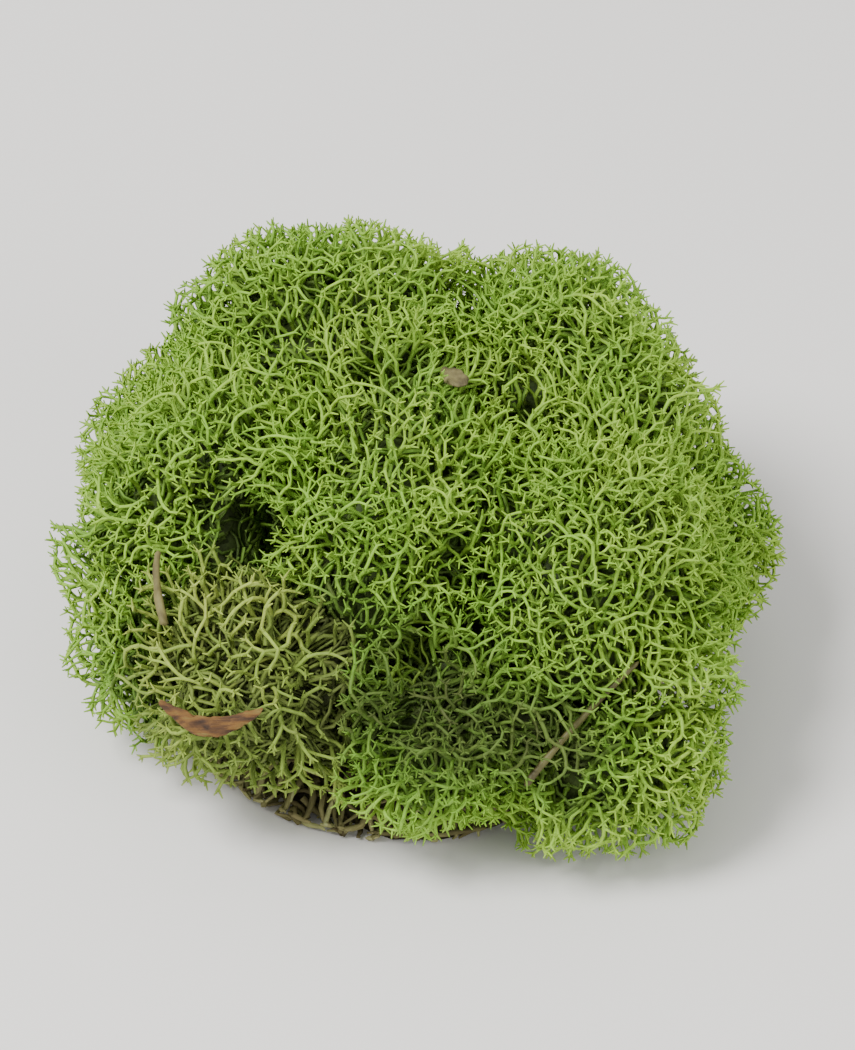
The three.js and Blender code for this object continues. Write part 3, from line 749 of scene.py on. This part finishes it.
def add_stalks(strands, index):
    """The bare old stalks that carry a crown, from its core down into the mat."""
    for number in range(STALK_COUNT):
        turn = number * GOLDEN_ANGLE + index
        first = unit(np.cross(axes[index], (0.3, 0.1, 1)))
        second = np.cross(axes[index], first)
        distance = STALK_SPREAD * math.sqrt((number + 0.5) / STALK_COUNT)
        aside = (first * math.cos(turn) + second * math.sin(turn)) * distance
        top = centres[index] + aside
        way = top - FOCUS
        foot = FOCUS + way * (STALK_FOOT - FOCUS[2]) / way[2]
        steps = np.linspace(0, 1, STALK_BENDS)[:, None]
        line = top * (1 - steps) + foot * steps
        wobble = np.cumsum(random.normal(0, 0.5 * mm, (STALK_BENDS, 3)), axis=0)
        line[1:-1] += wobble[1:-1] * 0.8
        radii = STALK_RADIUS * random.uniform(0.7, 1.2) * np.linspace(1.15, 0.85, STALK_BENDS)
        lightness = np.linspace(0.22, 0.3, STALK_BENDS) + random.normal(0, 0.02)
        strands.add(line[None], radii, lightness, np.array([[random.uniform(0.4, 0.9)]]), 4)


def core_reach(index, ways):
    """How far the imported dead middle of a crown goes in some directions."""
    to_floor = (centres[index][2] - CORE_FOOT) / np.maximum(-ways[:, 2], 1e-6)
    reach = np.minimum(outside_of(index, ways) - CORE_DEPTH, to_floor)
    reach = np.minimum(reach, room_towards(index, ways) - mm)
    reach = np.clip(reach, SMALLEST_CORE, None)
    for step in range(DENT_STEPS):
        points = centres[index] + ways * reach[:, None]
        in_the_way = in_hole(points, DENT_MARGIN) & (reach > DENTED_CORE)
        reach = np.where(in_the_way, reach - DENT_STEP, reach)
    return reach * (1 + CORE_LUMP * patches(ways, CORE_LUMP_SIZE, seed=index))


def core_mesh(index):
    """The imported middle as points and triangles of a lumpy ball."""
    ball = bmesh.new()
    bmesh.ops.create_icosphere(ball, subdivisions=CORE_SUBDIVISIONS, radius=1)
    ways = unit(np.array([vertex.co[:] for vertex in ball.verts]))
    faces = [[vertex.index for vertex in face.verts] for face in ball.faces]
    ball.free()
    return centres[index] + ways * core_reach(index, ways)[:, None], faces


def add_thatch(strands, index):
    """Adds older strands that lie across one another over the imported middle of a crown."""
    large = (reaches[index] / THATCH_REACH) ** 2
    count = THATCH * large * (1 + THATCH_OPENING * openness[index])
    ways = unit(random.normal(size=(int(count), 3)))
    ways = ways[ways @ axes[index] > UNDERSIDE]
    heading = sideways(ways)
    first_lift = random.uniform(0, 1, len(ways))**1.4 * THATCH_HEIGHT - 0.2 * mm
    lift = first_lift.copy()
    line = []
    for bend in range(THATCH_BENDS):
        reach = np.minimum(core_reach(index, ways) + lift, room_towards(index, ways))
        line.append(centres[index] + ways * reach[:, None])
        lift += random.normal(0, 0.35, len(ways)) * mm
        step = random.uniform(1.0, 1.9, len(ways)) * mm / reach
        ways = unit(ways + heading * step[:, None])
        heading += 0.45 * sideways(ways)
        heading = unit(heading - (heading * ways).sum(axis=1, keepdims=True) * ways)
    thickness = random.uniform(0.24, 0.38, (len(ways), 1)) * mm
    # Lower thatch is drawn darker: painted shade.
    lightness = 0.2 + 0.35 * first_lift / THATCH_HEIGHT + random.uniform(-0.06, 0.08, len(ways))
    hue = random.uniform(0.35, 0.75, len(ways))
    line = np.stack(line, axis=1)
    middles = line[:, THATCH_BENDS // 2]
    hue = np.clip(hue * (1 - dull_or_shaded(middles, DULL)), 0.03, 0.97)
    # Painted shade darkens the thatch in the shaded places.
    lightness *= 1 - PAINTED_SHADE_DARKENING * dull_or_shaded(middles, PAINTED_SHADE)
    free = line[:, :, 2].min(axis=1) > THATCH_FOOT
    free &= ~in_hole(middles, THATCH_HOLE_MARGIN) | (first_lift < 0.8 * mm)
    columns = [values[free, None] for values in (thickness[:, 0], lightness, hue)]
    strands.add(line[free], *columns, 3)


for index, name in enumerate(names):
    strands = Strands()
    add_branches(strands, index)
    add_points(strands, index)
    add_thatch(strands, index)
    add_stalks(strands, index)
    points, faces = core_mesh(index)
    # The core is coloured nearly black-green: painted shade for the deep gaps between the
    # strands.
    spots = random.uniform((0.02, 0.3), (0.1, 0.6), (len(points), 2))
    strands.add_body(points, faces, spots[:, 0], spots[:, 1] * (1 - dull_or_shaded(points, DULL)))
    is_pale = openness[index] == 1
    piece = strand_piece(strands, name + "_strands", pale_moss if is_pale else moss)
    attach(piece, "root")
    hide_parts(name)


# ---- Mat of old stems ------------------------------------------------------------------------
# Under the crowns lie the stems of earlier years: dead, brown-olive, brittle and pressed into a
# flat tangle that holds the clump together. It is as pulled off the ground, so its foot is flat.

STEM_COUNT, STEM_RADIUS, STEM_BENDS = 1500, 0.55 * mm, 7
LOWEST_STEM = 0.75 * mm  # the lowest that a stem's middle line lies
LOAF_RADIUS, LOAF_TOP = 36 * mm, 10.4 * mm
MAT_EDGE = 1.02  # the farthest out that a stem reaches, in radii of the loaf
mat_low, mat_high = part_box("stem_mat")
mat_middle = np.array(((mat_low.x + mat_high.x) / 2, (mat_low.y + mat_high.y) / 2, 0))


def loaf_height(across):
    """How high the mat is at a distance from its middle."""
    share = np.clip(across / LOAF_RADIUS, 0, 1)
    return LOAF_TOP * np.sqrt(np.maximum(0.0, 1 - share**3.2))


OLD_BROWN = [
    (0.0, (0.016, 0.012, 0.006)), (0.3, (0.070, 0.055, 0.022)), (0.62, (0.150, 0.125, 0.050)),
    (0.85, (0.230, 0.200, 0.085)), (1.0, (0.330, 0.300, 0.140)),
]
OLD_OLIVE = [
    (0.0, (0.020, 0.018, 0.008)), (0.3, (0.100, 0.095, 0.034)), (0.62, (0.210, 0.205, 0.080)),
    (0.85, (0.310, 0.320, 0.130)), (1.0, (0.430, 0.450, 0.210)),
]
old_stems = moss_material("old stems", (OLD_BROWN, OLD_OLIVE), 0.8)

strands = Strands()
for number in range(STEM_COUNT):
    turn = random.uniform(0, 2 * math.pi)
    across = LOAF_RADIUS * math.sqrt(random.uniform(0.05, 1.0)) * 0.97
    height = max(loaf_height(across) * random.uniform(0.12, 0.95), LOWEST_STEM)
    start = mat_middle + (across * math.cos(turn), across * math.sin(turn), height)
    heading = turn + random.normal(0, 1.1)
    slope = random.normal(0.05, 0.3)
    step = random.uniform(0.9, 1.9) * mm
    line = [start]
    for bend in range(STEM_BENDS - 1):
        heading += random.normal(0, 0.35)
        slope += random.normal(0, 0.25) - 0.3 * slope
        way = np.array((math.cos(heading), math.sin(heading), slope))
        place = line[-1] + way / np.linalg.norm(way) * step
        offset = place[:2] - mat_middle[:2]
        distance = np.linalg.norm(offset)
        if distance > MAT_EDGE * LOAF_RADIUS:
            place[:2] = mat_middle[:2] + offset / distance * MAT_EDGE * LOAF_RADIUS
        highest = max(loaf_height(min(distance, LOAF_RADIUS)), 2 * mm)
        place[2] = np.clip(place[2], LOWEST_STEM, highest)
        line.append(place)
    radius = STEM_RADIUS * random.uniform(0.6, 1.15)
    radii = radius * np.array([1, 1, 0.95, 0.9, 0.8, 0.65, 0.4])
    lightness = np.clip(random.uniform(0.2, 0.85) + np.linspace(0, 0.12, STEM_BENDS), 0.02, 0.98)
    hue = np.clip(random.normal(0.5, 0.25), 0.03, 0.97)
    strands.add(np.array(line)[None], radii, lightness, np.array([[hue]]), 4)


def ring_faces(rings, sectors):
    """The faces of a closed body of rings of points, from its first ring to its last."""
    faces = []
    for ring in range(rings):
        for sector in range(sectors):
            a, b = ring * sectors + sector, ring * sectors + (sector + 1) % sectors
            faces.append((a, b, b + sectors, a + sectors))
    faces.append(tuple(reversed(range(sectors))))
    faces.append(tuple(rings * sectors + sector for sector in range(sectors)))
    return faces


def loaf(rings, sectors):
    """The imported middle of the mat, with a flat foot, as points and faces."""
    points = []
    for ring in range(rings + 1):
        angle = math.pi / 2 * ring / rings
        for sector in range(sectors):
            turn = 2 * math.pi * sector / sectors
            cosine, sine = math.cos(turn), math.sin(turn)
            lump = 1 + 0.05 * math.sin(3 * turn + 0.7) + 0.04 * math.sin(5 * turn + 2.1)
            across = (LOAF_RADIUS - 2.5 * mm) * math.cos(angle) ** 0.6 * lump
            across *= 1 + 0.05 * noise.noise(Vector((cosine * 6, sine * 6, ring)))
            spot = Vector((across * cosine, across * sine, ring * mm)) / (3 * mm)
            height = (LOAF_TOP - 1.6 * mm) * math.sin(angle) + 0.9 * mm * noise.noise(spot)
            height = max(height, 0.0) if ring else 0.0  # the foot is flat
            points.append((across * cosine, across * sine, height))
    points = [tuple(mat_middle + np.array(point)) for point in points]
    return points, ring_faces(rings, sectors)


points, faces = loaf(rings=10, sectors=72)
spots = random.uniform((0.04, 0.1), (0.14, 0.6), (len(points), 2))
strands.add_body(points, faces, spots[:, 0], spots[:, 1])
mat_piece = strand_piece(strands, "stem_mat_tangle", old_stems)
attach(mat_piece, "root")
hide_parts("stem_mat")


# ---- Needle and twig -------------------------------------------------------------------------
# A dry conifer needle and a short dead twig have fallen into the crowns. The needle is smooth
# and brown with reddish patches, and the twig has tan bark with small knots.

BLOTCHES_PER_METRE, BLOTCH_DETAIL = 320, 5
BARK_GRAINS_PER_METRE, BARK_GRAIN_DETAIL, BARK_GRAIN_HEIGHT = 1500, 3, 0.2 * mm


def dry_material(name, stops, stretch, roughness, bump):
    """Dry wood or bark: blotches stretched along one way, and a fine grain that stands out."""
    material, shader, nodes, link = new_finish(name, roughness)
    place = nodes.new("ShaderNodeTexCoord").outputs["Object"]
    along = nodes.new("ShaderNodeMapping")
    along.inputs["Scale"].default_value = stretch
    link(place, along.inputs["Vector"])
    stretched = along.outputs["Vector"]
    blotches = noise_at(nodes, link, stretched, BLOTCHES_PER_METRE, BLOTCH_DETAIL)
    ramp = colour_ramp(nodes, stops)
    link(blotches, ramp.inputs["Fac"])
    link(ramp.outputs["Color"], shader.inputs["Base Color"])
    grain = noise_at(nodes, link, stretched, BARK_GRAINS_PER_METRE, BARK_GRAIN_DETAIL)
    add_relief(nodes, link, shader, grain, bump, BARK_GRAIN_HEIGHT)
    return material


KNOT_SIZE = 1.6 * mm
CORNER_SHARE = 0.9  # a stick's radius, as a share of how far out its node's corners lie


def stick_mesh(name, steps, sides, knots):
    """A round stick along the middle of a node, as thick as the node is, with rounded ends."""
    points = merged_corners(name)
    middle = points.mean(axis=0)
    along = np.linalg.svd(points - middle)[2][0]
    places = (points - middle) @ along
    fits = [np.polyfit(places, (points - middle)[:, axis], 2) for axis in range(3)]

    def path(place):
        return middle + np.array([np.polyval(fit, place) for fit in fits])

    away = [np.linalg.norm(point - path(place)) for point, place in zip(points, places)]
    thickness = np.polyfit(places, away, 1)
    side = unit(np.cross(along, (0.2, 0.3, 1)))
    other = np.cross(along, side)
    vertices = []
    for step in range(steps + 1):
        share = step / steps
        place = places.min() + (places.max() - places.min()) * share
        end = min(1.0, math.sqrt(max(0.0, 1 - (2 * share - 1) ** 16)) + 0.25)
        centre = path(place)
        for number in range(sides):
            turn = 2 * math.pi * number / sides
            way = side * math.cos(turn) + other * math.sin(turn)
            rough = noise.noise(Vector(centre + way * mm) / KNOT_SIZE)
            radius = CORNER_SHARE * np.polyval(thickness, place) * end * (1 + knots * rough)
            vertices.append(centre + way * radius)
    return vertices, ring_faces(steps, sides)


def litter_piece(name, slot, vertices, faces, material):
    """Puts a finished piece of litter in the place of its node."""
    mesh = bpy.data.meshes.new(name + "_dressed")
    mesh.from_pydata([tuple(vertex) for vertex in vertices], [], faces)
    shape = bmesh.new()
    shape.from_mesh(mesh)
    bmesh.ops.recalc_face_normals(shape, faces=shape.faces)
    shape.to_mesh(mesh)
    shape.free()
    mesh.shade_smooth()
    mesh.materials.append(material)
    piece = bpy.data.objects.new(name + "_dressed", mesh)
    bpy.context.scene.collection.objects.link(piece)
    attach(piece, "root")
    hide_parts(name)


NEEDLE_BROWN = [
    (0.30, (0.035, 0.022, 0.007)), (0.46, (0.076, 0.064, 0.014)), (0.60, (0.128, 0.120, 0.030)),
    (0.75, (0.165, 0.078, 0.026)),
]
needle_finish = dry_material("dry needle", NEEDLE_BROWN, (0.5, 0.5, 0.5), 0.6, 0.3)
needle_shape = stick_mesh("dry_needle", steps=40, sides=10, knots=0.16)
litter_piece("dry_needle", "dry_needle", *needle_shape, needle_finish)

TWIG_TAN = [
    (0.30, (0.045, 0.032, 0.012)), (0.48, (0.108, 0.090, 0.025)), (0.62, (0.172, 0.153, 0.047)),
    (0.80, (0.230, 0.210, 0.075)),
]
twig_finish = dry_material("dry twig", TWIG_TAN, (1, 1, 0.35), 0.75, 0.5)
twig_shape = stick_mesh("dry_twig", steps=36, sides=12, knots=0.3)
litter_piece("dry_twig", "dry_twig", *twig_shape, twig_finish)


# ---- Bark flake and seed scale ---------------------------------------------------------------
# A curled flake of pine bark, dark brown with orange-brown patches, and the pale papery scale of
# a cone, which has a blunt ridge down its middle. Both lie loose on the strands.

FLAKE_SUBDIVISIONS, FLAKE_SMOOTHING = 3, 0.3


def flake_mesh(name, rough, rough_size):
    """A node's own shape and size, with rounded faces and a rough skin."""
    flake = bmesh.new()
    flake.from_mesh(frame["nodes"][name].data)
    bmesh.ops.remove_doubles(flake, verts=flake.verts, dist=0.01 * mm)
    for level in range(FLAKE_SUBDIVISIONS):
        bmesh.ops.subdivide_edges(flake, edges=flake.edges, cuts=1, use_grid_fill=True)
        bmesh.ops.smooth_vert(flake, verts=flake.verts, factor=FLAKE_SMOOTHING,
                              use_axis_x=True, use_axis_y=True, use_axis_z=True)
    flake.normal_update()
    for vertex in flake.verts:
        bump = noise.fractal(vertex.co / rough_size, 0.8, 2.1, 4)
        vertex.co += vertex.normal * rough * bump
    vertices = np.array([vertex.co[:] for vertex in flake.verts])
    faces = [[vertex.index for vertex in face.verts] for face in flake.faces]
    flake.free()
    low, high = vertices.min(axis=0), vertices.max(axis=0)
    corners = np.array([corner[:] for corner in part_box(name)])
    middle = corners.mean(axis=0)
    growth = (corners[1] - corners[0]) / (high - low)
    vertices = middle + (vertices - (low + high) / 2) * growth
    return vertices, faces


BARK_ORANGE = [
    (0.30, (0.016, 0.007, 0.003)), (0.44, (0.070, 0.030, 0.008)), (0.56, (0.150, 0.070, 0.013)),
    (0.72, (0.160, 0.122, 0.027)),
]
bark_finish = dry_material("bark", BARK_ORANGE, (0.5, 3, 3), 0.85, 0.8)
bark_shape = flake_mesh("bark_flake", 0.35 * mm, 2.2 * mm)
litter_piece("bark_flake", "bark", *bark_shape, bark_finish)

SCALE_TAN = [
    (0.30, (0.050, 0.038, 0.014)), (0.46, (0.130, 0.110, 0.040)), (0.62, (0.210, 0.185, 0.070)),
    (0.80, (0.280, 0.255, 0.110)),
]
scale_finish = dry_material("seed scale", SCALE_TAN, (1, 1, 1), 0.75, 0.5)
scale_shape = flake_mesh("seed_scale", 0.3 * mm, 1.6 * mm)
litter_piece("seed_scale", "seed_scale", *scale_shape, scale_finish)


# ---- Floor, light and camera -----------------------------------------------------------------
# A plain pale table top under soft light from two round panels and a white room, seen from the
# front and above.

FLOOR_SIZE, LIT_SPOT, ROOM_LIGHT = 6, Vector((0, 0, 0.03)), 0.76

bpy.ops.mesh.primitive_plane_add(size=FLOOR_SIZE, location=(0, 0, 0))
floor = bpy.context.active_object
floor.name = "floor"
table_finish, table_shader = new_finish("pale table", 0.7)[:2]
table_shader.inputs["Base Color"].default_value = (0.80, 0.78, 0.75, 1)
floor.data.materials.append(table_finish)


def panel(name, place, size, power):
    """A round soft light that faces the clump."""
    light = bpy.data.lights.new(name, "AREA")
    light.shape, light.size, light.energy = "DISK", size, power
    lamp = bpy.data.objects.new(name, light)
    bpy.context.scene.collection.objects.link(lamp)
    lamp.location = place
    lamp.rotation_euler = (LIT_SPOT - Vector(place)).to_track_quat("-Z", "Y").to_euler()


panel("key", place=(-0.55, -0.25, 0.95), size=0.5, power=19)
panel("fill", place=(0.9, -0.8, 0.55), size=0.9, power=8)
world = bpy.data.worlds.new("studio")
world.use_nodes = True
background = world.node_tree.nodes["Background"]
background.inputs["Color"].default_value = (1, 1, 1, 1)
background.inputs["Strength"].default_value = ROOM_LIGHT
bpy.context.scene.world = world

CAMERA_DISTANCE, CAMERA_ELEVATION = 0.95, math.radians(40)
CAMERA_LENS, SENSOR_WIDTH = 222, 36  # millimetres
camera_data = bpy.data.cameras.new("camera")
camera_data.lens, camera_data.sensor_width = CAMERA_LENS, SENSOR_WIDTH
camera = bpy.data.objects.new("camera", camera_data)
bpy.context.scene.collection.objects.link(camera)
look_at = Vector((0, 0, 0.028))
camera.location = look_at + CAMERA_DISTANCE * Vector(
    (0, -math.cos(CAMERA_ELEVATION), math.sin(CAMERA_ELEVATION)))
camera.rotation_euler = (look_at - camera.location).to_track_quat("-Z", "Y").to_euler()
bpy.context.scene.camera = camera
